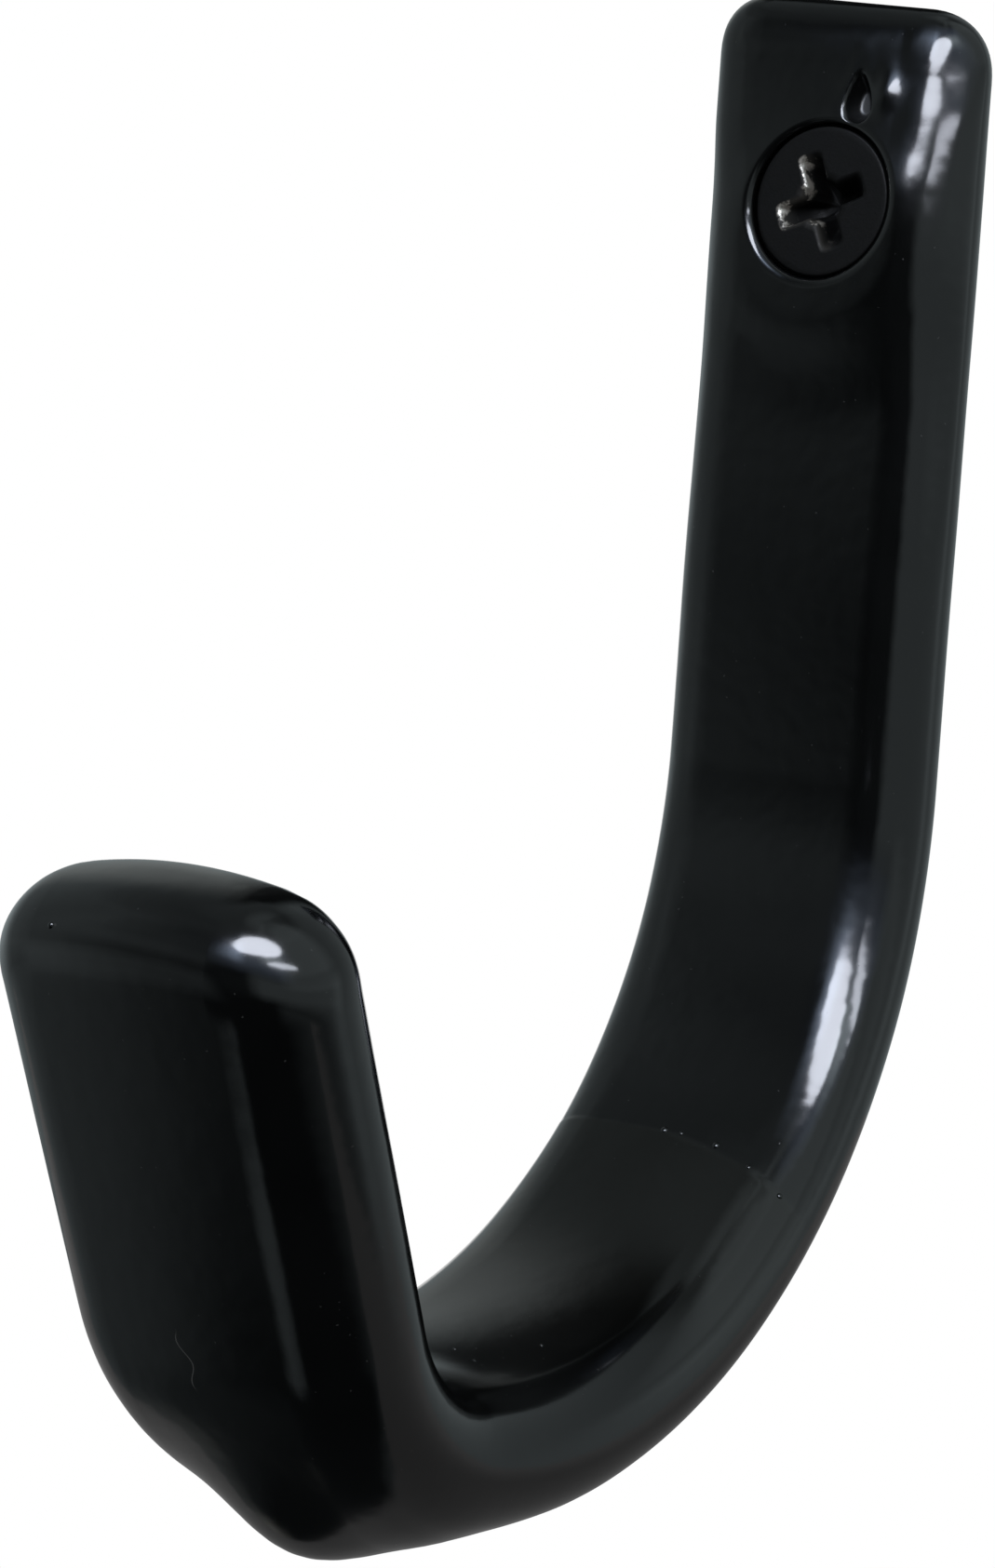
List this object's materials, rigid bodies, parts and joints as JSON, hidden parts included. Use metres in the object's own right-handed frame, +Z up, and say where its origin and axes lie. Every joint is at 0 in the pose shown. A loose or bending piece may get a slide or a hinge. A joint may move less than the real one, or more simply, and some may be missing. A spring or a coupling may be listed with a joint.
{
  "type": "bow hanger hook",
  "caption": "J-shaped wall hook of flat bar in a thick glossy black dipped coat, with its countersunk cross-head wood screw.",
  "frame": {"origin": "where the screw's axis meets the wall face of the strap", "axes": "+Z up along the strap, +Y into the wall along the screw, +X across the bar, to the right as seen from the room"},
  "size_m": [0.021, 0.0826, 0.0923],
  "materials": {
    "dipped_coat": "gloss",
    "blackened_screw": "matt"
  },
  "bodies": {
    "root": {"hook": "dipped_coat", "screw": "blackened_screw"}
  },
  "joints": []
}
